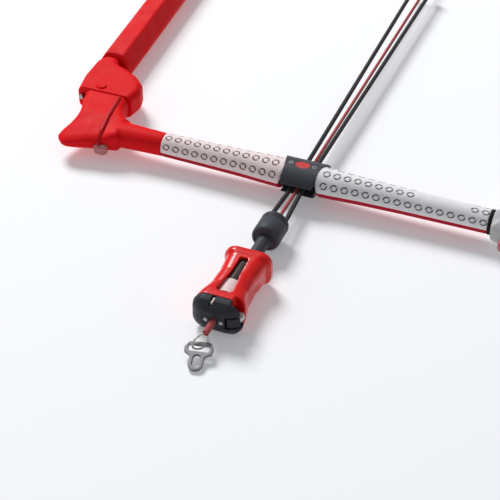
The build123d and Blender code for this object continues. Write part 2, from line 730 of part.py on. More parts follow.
def make_base(name, keep):
    """One half of the clamshell base."""
    with BuildPart() as shell:
        add(base_shape.part)
        split(bisect_by=line_level, keep=keep)
        with BuildSketch(rider(BASE_TOP)):
            Circle(CORE_RADIUS)
        extrude(amount=CORE_BOTTOM - BASE_TOP, mode=Mode.SUBTRACT)
        with BuildSketch(rider(BASE_TOP)):
            Circle(STUB_BORE + 0.2)
        extrude(amount=40, mode=Mode.SUBTRACT)
        with BuildSketch(line_level):
            with Locations((RECESS_X + 10, -RECESS_TOP - 12)):
                Rectangle(20, 24)
            with Locations((LATCH_X, -LATCH_REACH)):
                Circle(LATCH_RADIUS + GAP)
            with Locations((LATCH_X + 10 - LATCH_RADIUS - GAP, -LATCH_REACH - 5)):
                Rectangle(20, 10)
        extrude(amount=RECESS_HALF_HEIGHT, both=True, mode=Mode.SUBTRACT)
        with BuildSketch(line_level):
            with Locations((RECESS_X + 10, -RECESS_TOP - 5.9)):
                Rectangle(20, 11.8)
        extrude(amount=20, mode=Mode.SUBTRACT)
        with Locations((SLOT_X, BAR_Y - 218, LINE_Z + 18)):
            Box(3.6, 11.0, 10.6, mode=Mode.SUBTRACT)
        add(indicator_strip.part, mode=Mode.SUBTRACT)
        add(latch_pivot.part, mode=Mode.SUBTRACT)
        add(lock_pin.part, mode=Mode.SUBTRACT)
        add(exit_pins.part, mode=Mode.SUBTRACT)
        add(base_screws.part, mode=Mode.SUBTRACT)
        with BuildSketch(line_level.offset(-BASE_HALF_HEIGHT - 1)):
            with Locations(*[(x, -RECESS_TOP - y) for x, y in SCREW_PLACES]):
                Circle(2.2)
        extrude(amount=4.0, mode=Mode.SUBTRACT)
    save(shell, name)


make_base("base_upper", Keep.TOP)
make_base("base_lower", Keep.BOTTOM)

# ---------------------------------------------------------------- safety line and leash plate
STUB_TOP = 205.0
safety_route = [
    (0, BAR_Y - STUB_TOP, LINE_Z), (0, BAR_Y - SWIVEL_TOP + 2, LINE_Z),
    (1.0, BAR_Y, LINE_Z), (3.0, BAR_Y + SAFETY_TOP_Y, LINE_Z),
]
safety_line = cord_tube(safety_route, SAFETY_RADIUS, "safety_line")
save(safety_line, "safety_line")

with BuildPart() as safety_knot:
    with Locations((3.0, BAR_Y + SAFETY_TOP_Y + KNOT_BALL_RADIUS * 0.7, LINE_Z)):
        Sphere(KNOT_BALL_RADIUS * 0.85)
    add(safety_line.part, mode=Mode.SUBTRACT)
save(safety_knot, "safety_knot")

yaw, tilt = radians(RING_YAW), radians(RING_TILT)
ring_hinge = Vector(RING_HINGE_X, BAR_Y - RING_HINGE, RING_HINGE_HEIGHT)
ring_across = Vector(cos(yaw), sin(yaw), 0)
ring_normal = Vector(sin(yaw) * sin(tilt), -cos(yaw) * sin(tilt), cos(tilt))
ring_plane = Plane(origin=ring_hinge, x_dir=ring_across, z_dir=ring_normal)
print("leash plate hinge", ring_hinge, "axis", ring_across)
BAR_HALF = 1.9              # half the depth of the plate's upper bar
RING_PLAN = (
    (-9.5, BAR_HALF), (9.5, BAR_HALF), (13.2, -4), (12.6, -10), (6.6, -13), (6.6, -RING_LENGTH),
    (-6.6, -RING_LENGTH), (-6.6, -13), (-12.6, -10), (-13.2, -4),
)
RING_PLAN_RADII = (3, 3, 4, 3, 4, 6, 6, 4, 3, 4)
with BuildPart() as leash_ring:
    with BuildSketch(ring_plane):
        with BuildLine():
            FilletPolyline(*RING_PLAN, radius=RING_PLAN_RADII, close=True)
        make_face()
        with Locations((0, -4.9)):
            RectangleRounded(19, 6.0, 1.8, mode=Mode.SUBTRACT)
        with Locations((0, -18.0)):
            SlotOverall(12.4, 6.4, rotation=90, mode=Mode.SUBTRACT)
    extrude(amount=RING_THICKNESS / 2, both=True)
save(leash_ring, "leash_ring")

LOOP_CORD_RADIUS = 0.9
ring_along = ring_normal.cross(ring_across)


def by_hinge(across_axis, along, up):
    """Point given from the middle of the plate's upper bar, in the plate's own directions."""
    point = ring_hinge + ring_across * across_axis + ring_along * along + ring_normal * up
    return (point.X, point.Y, point.Z)


loop_route = [
    (-1.4, BAR_Y - STUB_END + 2, LINE_Z), by_hinge(-5.6, 1.6, 4.2), by_hinge(-6.4, -3.4, 3.6),
    by_hinge(-5.6, -4.8, -1.2), by_hinge(0.0, -3.0, -4.4), by_hinge(5.6, 2.6, -4.0),
    by_hinge(6.4, 4.8, 1.0), (1.4, BAR_Y - STUB_END + 2, LINE_Z),
]
ring_loop = cord_tube(loop_route, LOOP_CORD_RADIUS, "ring_loop")
save(ring_loop, "ring_loop")

with BuildPart() as safety_stub:
    with BuildSketch(rider(STUB_TOP)):
        Circle(STUB_RADIUS)
    extrude(amount=STUB_END - STUB_TOP)
    add(ring_loop.part, mode=Mode.SUBTRACT)
save(safety_stub, "safety_stub")
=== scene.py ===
"""Kite control bar: the look of the assembly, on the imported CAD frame."""
from math import cos, pi, radians, sin

import bmesh
import bpy
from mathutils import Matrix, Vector
from mathutils.bvhtree import BVHTree


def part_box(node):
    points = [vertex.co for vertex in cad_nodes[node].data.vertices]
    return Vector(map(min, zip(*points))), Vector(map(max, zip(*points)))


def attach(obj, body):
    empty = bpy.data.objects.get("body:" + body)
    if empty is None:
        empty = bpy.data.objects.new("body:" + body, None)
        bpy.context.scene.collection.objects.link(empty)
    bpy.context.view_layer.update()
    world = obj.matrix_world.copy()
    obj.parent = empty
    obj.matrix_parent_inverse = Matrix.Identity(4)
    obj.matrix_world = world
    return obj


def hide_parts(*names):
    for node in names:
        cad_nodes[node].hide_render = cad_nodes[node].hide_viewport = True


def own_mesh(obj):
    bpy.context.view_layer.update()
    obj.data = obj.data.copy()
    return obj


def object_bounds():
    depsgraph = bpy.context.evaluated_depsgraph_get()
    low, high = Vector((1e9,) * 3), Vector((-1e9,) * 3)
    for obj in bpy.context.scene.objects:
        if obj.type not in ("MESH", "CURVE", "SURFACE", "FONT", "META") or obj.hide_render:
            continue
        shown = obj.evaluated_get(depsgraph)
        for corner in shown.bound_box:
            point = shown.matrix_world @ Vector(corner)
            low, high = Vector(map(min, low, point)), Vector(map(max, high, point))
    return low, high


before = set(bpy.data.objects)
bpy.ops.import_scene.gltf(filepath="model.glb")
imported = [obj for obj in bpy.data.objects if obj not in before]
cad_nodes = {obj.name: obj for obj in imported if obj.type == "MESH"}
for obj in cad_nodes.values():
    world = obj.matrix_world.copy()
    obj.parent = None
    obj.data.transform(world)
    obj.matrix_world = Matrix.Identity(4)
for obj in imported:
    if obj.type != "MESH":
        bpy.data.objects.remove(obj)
cad_low, cad_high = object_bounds()

# Lengths are in millimetres and places are given from the bar's middle, as in the CAD.
MM = 0.001
BAR_Y, BAR_Z = -62.0346, 21.5       # the bar's axis in the frame
LINE_DROP = 18.0 - BAR_Z            # the lines and the release unit lie 18 mm up
HANDS = (("left", -1), ("right", 1))
# The half that the photo shows is red, and the other half is grey.
FINISHES = {
    "left": {"rubber": "red_rubber", "rubber_slot": "end_rubber_red", "strap": "strap_red",
             "foam": "red_foam", "foam_slot": "float_red", "leader": "line_red"},
    "right": {"rubber": "grey_rubber", "rubber_slot": "end_rubber_grey", "strap": "strap_grey",
              "foam": "grey_foam", "foam_slot": "float_grey", "leader": "line_white"},
}


def at(x, y, z=0.0):
    """A point given from the bar's middle, in millimetres, as metres in the frame."""
    return Vector((x, y + BAR_Y, z + BAR_Z)) * MM


def clamped(value):
    return min(1.0, max(0.0, value))


# ---------------------------------------------------------------- materials
materials = {}


def new_material(name):
    mat = bpy.data.materials.new(name)
    mat.use_nodes = True
    materials[name] = mat
    return mat.node_tree, mat.node_tree.nodes["Principled BSDF"]


def noise(tree, scale, detail=4.0, stretch=(1, 1, 1)):
    coords = tree.nodes.new("ShaderNodeTexCoord")
    mapping = tree.nodes.new("ShaderNodeMapping")
    mapping.inputs["Scale"].default_value = stretch
    texture = tree.nodes.new("ShaderNodeTexNoise")
    texture.inputs["Scale"].default_value = scale
    texture.inputs["Detail"].default_value = detail
    tree.links.new(coords.outputs["Object"], mapping.inputs["Vector"])
    tree.links.new(mapping.outputs["Vector"], texture.inputs["Vector"])
    return texture.outputs["Fac"]


def ramp(tree, value, low, high, start=0.3, end=0.7):
    """Colours from low to high, as the value goes from start to end."""
    node = tree.nodes.new("ShaderNodeValToRGB")
    node.color_ramp.elements[0].position = start
    node.color_ramp.elements[1].position = end
    node.color_ramp.elements[0].color = (*low, 1)
    node.color_ramp.elements[1].color = (*high, 1)
    tree.links.new(value, node.inputs["Fac"])
    return node.outputs["Color"]


def spread(tree, value, low, high, start=0.3, end=0.7, easing="LINEAR"):
    """Numbers from low to high, as the value goes from start to end."""
    node = tree.nodes.new("ShaderNodeMapRange")
    node.interpolation_type = easing
    node.inputs["From Min"].default_value = start
    node.inputs["From Max"].default_value = end
    node.inputs["To Min"].default_value = low
    node.inputs["To Max"].default_value = high
    tree.links.new(value, node.inputs["Value"])
    return node.outputs["Result"]


def bump(tree, bsdf, height, strength, distance=0.0003, below=None):
    """Relief of the surface, on top of the relief in below."""
    node = tree.nodes.new("ShaderNodeBump")
    node.inputs["Strength"].default_value = strength
    node.inputs["Distance"].default_value = distance
    tree.links.new(height, node.inputs["Height"])
    if below:
        tree.links.new(below, node.inputs["Normal"])
    tree.links.new(node.outputs["Normal"], bsdf.inputs["Normal"])
    return node.outputs["Normal"]


def shade(color, factor):
    return tuple(min(1.0, channel * factor) for channel in color)


def moulded(name, color, rough=0.45, grain=1800, strength=0.12, variation=0.06, metallic=0.0,
            transmission=0.0, stretch=(1, 1, 1), specular=0.1):
    """Plastic, rubber, foam or metal with a fine grain and slight wear in its roughness."""
    tree, bsdf = new_material(name)
    tint = ramp(tree, noise(tree, 22, 5), shade(color, 1 - variation), shade(color, 1 + variation))
    tree.links.new(tint, bsdf.inputs["Base Color"])
    tree.links.new(spread(tree, noise(tree, 60, 6), rough * 0.85, min(1, rough * 1.2)),
                   bsdf.inputs["Roughness"])
    bump(tree, bsdf, noise(tree, grain, 3, stretch), strength)
    bsdf.inputs["Metallic"].default_value = metallic
    bsdf.inputs["Transmission Weight"].default_value = transmission
    bsdf.inputs["Specular IOR Level"].default_value = specular


def braided(name, color, dark, pitch=2.6):
    """Braided line: two sets of strands crossing on the slant, seen along Y."""
    tree, bsdf = new_material(name)
    coords = tree.nodes.new("ShaderNodeTexCoord")
    heights = []
    for slant in (1, -1):
        mapping = tree.nodes.new("ShaderNodeMapping")
        mapping.inputs["Rotation"].default_value = (0, slant * 0.5, slant * radians(52))
        wave = tree.nodes.new("ShaderNodeTexWave")
        wave.inputs["Scale"].default_value = 1000 / pitch / 3.2
        wave.inputs["Distortion"].default_value = 1.2
        wave.inputs["Detail"].default_value = 2.0
        tree.links.new(coords.outputs["Object"], mapping.inputs["Vector"])
        tree.links.new(mapping.outputs["Vector"], wave.inputs["Vector"])
        heights.append(wave.outputs["Fac"])
    strands = tree.nodes.new("ShaderNodeMath")
    strands.operation = "MAXIMUM"
    for height, socket in zip(heights, strands.inputs):
        tree.links.new(height, socket)
    tree.links.new(ramp(tree, strands.outputs[0], dark, color, 0.2, 0.9),
                   bsdf.inputs["Base Color"])
    tree.links.new(spread(tree, noise(tree, 2500, 2), 0.65, 0.95), bsdf.inputs["Roughness"])
    bump(tree, bsdf, strands.outputs[0], 0.6, 0.0004)


moulded("grey_rubber", (0.56, 0.56, 0.56), rough=0.5)
moulded("red_rubber", (0.80, 0.010, 0.014), rough=0.5, grain=1500, strength=0.06, specular=0.05)
moulded("strap_red", (0.55, 0.012, 0.018), grain=1500, strength=0.1)
moulded("strap_grey", (0.34, 0.34, 0.35), grain=1500, strength=0.1)
moulded("red_foam", (0.80, 0.012, 0.016), rough=0.6, grain=900, strength=0.2)
moulded("grey_foam", (0.56, 0.56, 0.56), rough=0.6, grain=900, strength=0.2)
moulded("grip_red", (0.50, 0.012, 0.03), rough=0.6, grain=1400, strength=0.3)
moulded("slate", (0.062, 0.066, 0.078), rough=0.42, grain=1600, strength=0.10, variation=0.10)
moulded("black", (0.012, 0.012, 0.014), rough=0.5, grain=1500, strength=0.15)
moulded("slate_dark", (0.040, 0.043, 0.052), rough=0.36, grain=1600, strength=0.10,
        variation=0.12)
moulded("cover_grey", (0.055, 0.035, 0.038), rough=0.35, grain=1500, strength=0.08)
moulded("window_pale", (0.86, 0.68, 0.68), rough=0.4, grain=1500, strength=0.08)
moulded("inlay_red", (0.62, 0.06, 0.06), rough=0.35, grain=900, strength=0.08)
moulded("steel", (0.34, 0.33, 0.33), rough=0.28, grain=600, strength=0.10, variation=0.05,
        metallic=1.0, stretch=(1, 12, 1))
moulded("ball_steel", (0.50, 0.44, 0.44), rough=0.32, grain=600, strength=0.05, variation=0.05,
        metallic=1.0)
moulded("plate_steel", (0.27, 0.27, 0.275), rough=0.42, grain=700, metallic=1.0,
        stretch=(10, 1, 1))
moulded("aluminium", (0.70, 0.70, 0.72), rough=0.35, grain=600, strength=0.1, variation=0.04,
        metallic=1.0, stretch=(1, 8, 8))
moulded("clear_rubber", (0.72, 0.26, 0.27), rough=0.22, grain=700, strength=0.05,
        variation=0.08, transmission=0.35)
moulded("sleeve_red", (0.90, 0.012, 0.012), rough=0.2, grain=900, strength=0.03,
        transmission=0.12, specular=0.35)
braided("line_black", (0.035, 0.035, 0.038), (0.006, 0.006, 0.007))
braided("line_red", (0.60, 0.10, 0.10), (0.18, 0.014, 0.018), pitch=2.0)
braided("line_white", (0.85, 0.83, 0.80), (0.45, 0.42, 0.42), pitch=1.6)

RING_UV = "ring_cells"      # one unit is one ring: along the bar in U, round the bar in V
RING_FLAG = "marked"        # 1 where the foam has a ring
RING_PITCH, RING_ROW = 10.7, 13.0
RING_RADIUS, RING_LINE = 3.1, 1.0
RING_GAP_ACROSS = (0.5, 0.87)
RING_GAP_EDGE = (0.25, 0.8)


def ring_foam(name, color, ring_groove_shade):
    """Foam of the hand grip, with rings sunk into it where the mesh is flagged, and painted shade
    in the rings' grooves.
    """
    tree, bsdf = new_material(name)
    uv = tree.nodes.new("ShaderNodeUVMap")
    uv.uv_map = RING_UV
    cells = tree.nodes.new("ShaderNodeSeparateXYZ")
    tree.links.new(uv.outputs["UV"], cells.inputs[0])

    def calc(operation, *values):
        node = tree.nodes.new("ShaderNodeMath")
        node.operation = operation
        for socket, value in zip(node.inputs, values):
            if isinstance(value, (int, float)):
                socket.default_value = value
            else:
                tree.links.new(value, socket)
        return node.outputs[0]

    def from_middle(place, size):
        """How far a place is from the middle of its cell, in millimetres."""
        within = calc("SUBTRACT", place, calc("FLOOR", place))
        return calc("MULTIPLY", calc("SUBTRACT", within, 0.5), size)

    u = from_middle(cells.outputs["X"], RING_PITCH)
    v = from_middle(cells.outputs["Y"], RING_ROW)
    distance = calc("SQRT", calc("ADD", calc("MULTIPLY", u, u), calc("MULTIPLY", v, v)))
    off_ring = calc("ABSOLUTE", calc("SUBTRACT", distance, RING_RADIUS))
    ring_band = spread(tree, off_ring, 1.0, 0.0, RING_LINE * 0.5, RING_LINE * 0.95, "SMOOTHSTEP")
    # Each ring is two arcs: a narrow gap crosses it on the slant.
    gap = calc("ABSOLUTE", calc("ADD", calc("MULTIPLY", u, RING_GAP_ACROSS[0]),
                                calc("MULTIPLY", v, RING_GAP_ACROSS[1])))
    flag = tree.nodes.new("ShaderNodeAttribute")
    flag.attribute_name = RING_FLAG
    arcs = calc("MULTIPLY", ring_band, spread(tree, gap, 0.0, 1.0, *RING_GAP_EDGE))
    shown = calc("MULTIPLY", arcs, flag.outputs["Fac"])
    mix = tree.nodes.new("ShaderNodeMix")
    mix.data_type = "RGBA"
    tree.links.new(shown, mix.inputs["Factor"])
    tree.links.new(ramp(tree, noise(tree, 120, 5), shade(color, 0.95), shade(color, 1.04)),
                   mix.inputs["A"])
    # The rings' dark colour is painted shade of their sunk grooves.
    mix.inputs["B"].default_value = (*ring_groove_shade, 1)
    tree.links.new(mix.outputs["Result"], bsdf.inputs["Base Color"])
    tree.links.new(spread(tree, noise(tree, 200, 4), 0.55, 0.75), bsdf.inputs["Roughness"])
    pores = bump(tree, bsdf, noise(tree, 1500, 3), 0.25, 0.0002)
    bump(tree, bsdf, calc("SUBTRACT", 1.0, shown), 0.8, 0.0006, pores)


# Each grip's second colour is painted shade for its ring grooves.
ring_foam("grip_left", (0.90, 0.76, 0.76), (0.17, 0.085, 0.085))
ring_foam("grip_right", (0.86, 0.865, 0.87), (0.12, 0.125, 0.13))


# ---------------------------------------------------------------- helpers for pieces
def add_object(name, data, body, node):
    """A visible piece that rides on its body and stands for a CAD node."""
    obj = bpy.data.objects.new(name, data)
    bpy.context.scene.collection.objects.link(obj)
    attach(obj, body)
    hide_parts(node)
    return obj


def finish_mesh(mesh, mat):
    """Turn the faces outwards, shade them smooth and give them their finish."""
    build = bmesh.new()
    build.from_mesh(mesh)
    bmesh.ops.recalc_face_normals(build, faces=build.faces)
    build.to_mesh(mesh)
    build.free()
    for polygon in mesh.polygons:
        polygon.use_smooth = True
    mesh.materials.append(materials[mat])


def make_piece(name, verts, faces, mat, body, slot, node):
    mesh = bpy.data.meshes.new(name)
    mesh.from_pydata([tuple(v) for v in verts], [], faces)
    mesh.validate()
    finish_mesh(mesh, mat)
    return add_object(name, mesh, body, node)


def circle(center, side, other, side_radius, other_radius, count):
    """Points round an ellipse with the two radii along side and other, in millimetres."""
    return [center + (side * cos(2 * pi * k / count) * side_radius
                      + other * sin(2 * pi * k / count) * other_radius) * MM
            for k in range(count)]


def loft_rings(rings):
    """Vertices and faces of a closed skin through rings of equal count."""
    count = len(rings[0])
    verts = [p for ring in rings for p in ring]
    faces = []
    for i in range(len(rings) - 1):
        for j in range(count):
            k = (j + 1) % count
            faces.append((i * count + j, i * count + k, (i + 1) * count + k, (i + 1) * count + j))
    faces.append(tuple(range(count)))
    faces.append(tuple((len(rings) - 1) * count + j for j in range(count)))
    return verts, faces


def lathe(profile, center, direction, count):
    """A profile of (distance along, radius) turned about a line."""
    direction = Vector(direction).normalized()
    side = direction.orthogonal().normalized()
    other = direction.cross(side)
    return loft_rings([circle(center + direction * along * MM, side, other, radius, radius, count)
                       for along, radius in profile])


def evaluated_copy(mesh, name, kind, **settings):
    """The mesh after one modifier."""
    temp = bpy.data.objects.new(name + "_temp", mesh)
    bpy.context.scene.collection.objects.link(temp)
    modifier = temp.modifiers.new("step", kind)
    for key, value in settings.items():
        setattr(modifier, key, value)
    result = bpy.data.meshes.new_from_object(
        temp.evaluated_get(bpy.context.evaluated_depsgraph_get()))
    bpy.data.objects.remove(temp)
    return result


def softened(node, name, mat, body, voxel=0.8, passes=6, reshape=None):
    """A moulded piece: the CAD shape with its hard edges rounded off, inside its own box."""
    low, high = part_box(node)
    mesh = bpy.data.meshes.new(name)
    build = bmesh.new()
    build.from_mesh(cad_nodes[node].data)
    bmesh.ops.remove_doubles(build, verts=build.verts, dist=1e-6)
    build.to_mesh(mesh)
    build.free()
    result = evaluated_copy(mesh, name, "REMESH", mode="VOXEL", voxel_size=voxel * MM)
    if reshape:
        for vertex in result.vertices:
            vertex.co = reshape(vertex.co)
    result = evaluated_copy(result, name, "SMOOTH", factor=0.5, iterations=passes)
    result.name = name
    for polygon in result.polygons:
        polygon.use_smooth = True
    for vertex in result.vertices:
        for axis in range(3):
            vertex.co[axis] = min(max(vertex.co[axis], low[axis]), high[axis])
    result.materials.clear()
    result.materials.append(materials[mat])
    return add_object(name, result, body, node)


def repaint(node, mat):
    """Give a CAD node that keeps its shape its finish."""
    mesh = cad_nodes[node].data
    mesh.materials.clear()
    mesh.materials.append(materials[mat])


def cord_curve(name, points, radius, color, body, node, **facts):
    """A line along its route; color is its finish. The facts, such as its length, are not used."""
    curve = bpy.data.curves.new(name, "CURVE")
    curve.dimensions = "3D"
    spline = curve.splines.new("NURBS")
    spline.points.add(len(points) - 1)
    for point, place in zip(spline.points, points):
        point.co = (*place, 1)
    spline.order_u = 3
    spline.use_endpoint_u = True
    spline.resolution_u = 12
    curve.bevel_depth = radius * MM
    curve.bevel_resolution = 6
    curve.use_fill_caps = True
    curve.materials.append(materials[color])
    obj = add_object(name, curve, body, node)


# ---------------------------------------------------------------- pieces that keep their shape
for node, mat in (
    ("center_housing", "slate"), ("center_cover", "slate"), ("throat_liner", "black"),
    ("center_screws", "steel"), ("center_inlay", "inlay_red"),
    ("core_tube_left", "aluminium"), ("core_tube_right", "aluminium"),
    ("end_plug_left", "black"), ("end_plug_right", "black"), ("end_collar_right", "black"),
    ("swivel_retainer", "slate"), ("swivel_washer", "steel"),
    ("swivel_shaft", "slate"), ("release_core", "black"), ("core_collar", "black"),
    ("window_plate", "window_pale"), ("spring_cover", "cover_grey"),
    ("base_screws", "steel"), ("indicator_strip", "window_pale"),
    ("lock_pin", "ball_steel"), ("latch_pivot", "steel"), ("exit_pins", "steel"),
    ("leader_pin_left", "steel"), ("leader_pin_right", "steel"),
    ("head_screw_left", "red_rubber"), ("head_screw_right", "grey_rubber"),
    ("safety_stub", "line_red"),
):
    repaint(node, mat)

# ---------------------------------------------------------------- swivel and release unit
SWIVEL_TOP, SWIVEL_LENGTH, SWIVEL_RADIUS = 73.0, 30.0, 14.2
SWIVEL_EDGE = ((0.4, 12.4), (1.4, 13.6), (3.2, SWIVEL_RADIUS))
SWIVEL_GROOVES = (4.5, 6.6, 8.7)
GROOVE_DEPTH = 0.5
SWIVEL_BORE, SWIVEL_FLOOR = 11.0, 12.5      # bore's radius, and how far from the top it ends
ON_AXIS = 0.2                               # the radius at which a turned face closes
SPRING_TOP, SPRING_BOTTOM = 152.0, 177.0
SPRING_RADIUS, SPRING_WIRE, SPRING_TURNS = 11.3, 0.8, 4
SPRING_END_GAP = 0.1
SPRING_STEPS, WIRE_SIDES = 48, 12           # rings in a turn, and points in a ring


def swivel_profile():
    """Half section of the barrel: (distance from its top, radius)."""
    profile = [(0, ON_AXIS), (0, SWIVEL_BORE), *SWIVEL_EDGE]
    for groove in SWIVEL_GROOVES:
        profile += [(groove - 0.5, SWIVEL_RADIUS), (groove - 0.2, SWIVEL_RADIUS - GROOVE_DEPTH),
                    (groove + 0.2, SWIVEL_RADIUS - GROOVE_DEPTH), (groove + 0.5, SWIVEL_RADIUS)]
    profile += [(SWIVEL_LENGTH - along, radius) for along, radius in reversed(SWIVEL_EDGE)]
    return profile + [(SWIVEL_LENGTH, 11.4), (SWIVEL_LENGTH, SWIVEL_BORE),
                      (SWIVEL_FLOOR, SWIVEL_BORE), (SWIVEL_FLOOR, ON_AXIS)]


def coil_spring():
    """The spring's wire round its helix."""
    rings = []
    steps = SPRING_TURNS * SPRING_STEPS
    rise = SPRING_BOTTOM - SPRING_TOP - 2 * SPRING_WIRE - 2 * SPRING_END_GAP
    for step in range(steps + 1):
        turn = 2 * pi * SPRING_TURNS * step / steps
        along = SPRING_TOP + SPRING_WIRE + SPRING_END_GAP + rise * step / steps
        centre = at(SPRING_RADIUS * cos(turn), -along, LINE_DROP + SPRING_RADIUS * sin(turn))
        outward = Vector((cos(turn), 0, sin(turn)))
        rings.append(circle(centre, outward, Vector((0, 1, 0)), SPRING_WIRE, SPRING_WIRE,
                            WIRE_SIDES))
    return loft_rings(rings)


make_piece("swivel_barrel",
           *lathe(swivel_profile(), at(0, -SWIVEL_TOP, LINE_DROP), (0, -1, 0), 96),
           "slate", "line_set", "slate_plastic", "swivel_housing")
spring = make_piece("spring_coil", *coil_spring(), "steel", "release", "steel", "sleeve_spring")
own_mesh(spring)

softened("release_sleeve", "sleeve_skin", "sleeve_red", "sleeve", 0.5, 3)
for half in ("upper", "lower"):
    softened(f"base_{half}", f"base_skin_{half}", "slate_dark", "release", 0.5, 2)
softened("latch", "latch_skin", "slate_dark", "latch", 0.4, 2)
softened("leash_ring", "plate_skin", "plate_steel", "leash_ring", 0.35, 3)

# ---------------------------------------------------------------- grips
# The grip's sections: distance from the bar's middle, half depth and half height.
GRIP_SECTIONS = ((16, 17.2, 14.6), (36, 16.2, 14.3), (62, 14.2, 13.9), (105, 13.0, 13.0))
GRIP_END_RADIUS = 12.2
GRIP_ENDS = {"left": 151.0, "right": 192.0}
GRIP_BORE = 8.55
GRIP_COLUMNS = 110
# Each shell's first and last angle round the bar in degrees, its rows, finish and slot.
GRIP_SHELLS = (("upper", -11, 191, 72, "grip_{}", "foam_light"),
               ("lower", 191, 349, 48, "grip_red", "foam_red"))
GRIP_LIPS = {0: 0.985, GRIP_COLUMNS: 0.97}      # the ends are drawn in
SEAM_LIP = 0.018                                # and so are the two long edges
FIRST_RING_X = 27.1
FIRST_ROW_ANGLE, ROW_ANGLE = 56.0, 49.0
# The centre piece's edge, beside which the grip starts: leaning, and bowed outwards.
EDGE_X, EDGE_HALF_DEPTH, EDGE_HALF_HEIGHT = 16.6, 16.6, 14.3
EDGE_LEAN, EDGE_MIDDLE, EDGE_BOW = radians(35), 4, 0.011


def grip_section(x, end):
    """Half depth and half height of the grip at x, between its measured sections."""
    stations = (*GRIP_SECTIONS, (end, GRIP_END_RADIUS, GRIP_END_RADIUS))
    for (x0, a0, b0), (x1, a1, b1) in zip(stations, stations[1:]):
        if x <= x1:
            t = max(0.0, (x - x0) / (x1 - x0))
            return a0 + (a1 - a0) * t, b0 + (b1 - b0) * t
    return GRIP_END_RADIUS, GRIP_END_RADIUS


def grip_x(angle, end, column):
    """Distance from the bar's middle of a column, for a direction round the bar."""
    y, z = EDGE_HALF_DEPTH * cos(angle), EDGE_HALF_HEIGHT * sin(angle)
    lean = y * cos(EDGE_LEAN) + z * sin(EDGE_LEAN)
    start = EDGE_X + EDGE_BOW * (lean - EDGE_MIDDLE) ** 2
    return start + (end - start) * column / GRIP_COLUMNS


def has_ring(side, u, v):
    """Whether the pattern has a ring there: each grip has its own plain places."""
    column, row = int(u // 1), int(v // 1)
    if column < 0 or not 0 <= row < 3:
        return False
    if side == "left":
        return column < 12
    return column < 9 or column in (14, 15) or row == 2


def grip_shell(side, hand, shell, first, last, rows, mat, slot):
    """One foam shell: its outside, and the two ends that close it onto the tube."""
    end = GRIP_ENDS[side]
    turns = [first + (last - first) * j / rows for j in range(rows + 1)]
    verts, faces, uvs, flags = [], [], [], []
    for i in range(GRIP_COLUMNS + 1):
        for j, turn in enumerate(turns):
            angle = radians(turn)
            x = grip_x(angle, end, i)
            half_depth, half_height = grip_section(x, end)
            lip = GRIP_LIPS.get(i, 1.0) - (SEAM_LIP if j in (0, rows) else 0.0)
            verts.append(at(hand * x, half_depth * cos(angle) * lip,
                            half_height * sin(angle) * lip))
            u = (x - FIRST_RING_X) / RING_PITCH + 0.5
            v = (turn - FIRST_ROW_ANGLE) / ROW_ANGLE + 0.5
            uvs.append((u, v))
            flags.append(1.0 if shell == "upper" and has_ring(side, u, v) else 0.0)
    count = rows + 1
    for i in range(GRIP_COLUMNS):
        for j in range(rows):
            a = i * count + j
            faces.append((a, a + 1, a + count + 1, a + count))
    outer = len(verts)
    for i in (0, GRIP_COLUMNS):
        for turn in turns:
            angle = radians(turn)
            verts.append(at(hand * grip_x(angle, end, i), GRIP_BORE * cos(angle),
                            GRIP_BORE * sin(angle)))
            uvs.append((0, 0))
            flags.append(0.0)
    for j in range(rows):
        a, b = j, outer + j
        faces.append((a + 1, a, b, b + 1))
        a, b = GRIP_COLUMNS * count + j, outer + count + j
        faces.append((a, a + 1, b + 1, b))
    name = f"grip_{shell}_{side}_skin"
    mesh = bpy.data.meshes.new(name)
    mesh.from_pydata([tuple(v) for v in verts], [], faces)
    layer = mesh.uv_layers.new(name=RING_UV)
    for loop in mesh.loops:
        layer.data[loop.index].uv = uvs[loop.vertex_index]
    mesh.attributes.new(RING_FLAG, "FLOAT", "POINT").data.foreach_set("value", flags)
    finish_mesh(mesh, mat.format(side))
    add_object(name, mesh, "bar", f"grip_{shell}_{side}")


for side, hand in HANDS:
    for shell_facts in GRIP_SHELLS:
        grip_shell(side, hand, *shell_facts)

# ---------------------------------------------------------------- bar ends
HORN_START_X, HORN_BLEND = 200, 14      # where the horn begins, and how soon it is full
HORN_RIDGE_Y, HORN_FRONT_Y = 9.0, -37.0     # crest, which carries on the bar's round top
HORN_UNDERSIDE = 0.45                   # how much of the shaping the underside gets
HORN_TIP_START, HORN_TIP_X = 232.0, 264.0
TIP_BACK_Y, TIP_FADE = 14, 16           # the tip is shaped only in front of this
TIP_CENTRE_Y = -21.0
TIP_HEIGHT, TIP_DEPTH, TIP_DROP = 0.3, 0.45, 2.5
STRAP_CLEAR = 4.0                       # beside the groove, where the surface is whole
# Where the strap crosses the end: (x, y) from above, and then (x, z) from the front.
STRAP_FROM_ABOVE = [(225 - 0.137 * step, 45 - step) for step in range(0, 61, 4)]
STRAP_FROM_FRONT = [(215.8 - 0.15 * step, 3 - step) for step in range(0, 12, 2)]
STRAP_HALF_WIDTH, STRAP_HALF_HEIGHT, STRAP_LIFT = 2.3, 1.5, 0.0009
ABOVE_Z, IN_FRONT_Y = 60, -90           # where the rays onto the end start
STRAP_SIDES = 20


def faded(factor, amount):
    """1 where the amount is 0, and the factor where it is 1."""
    return 1 - amount * (1 - factor)


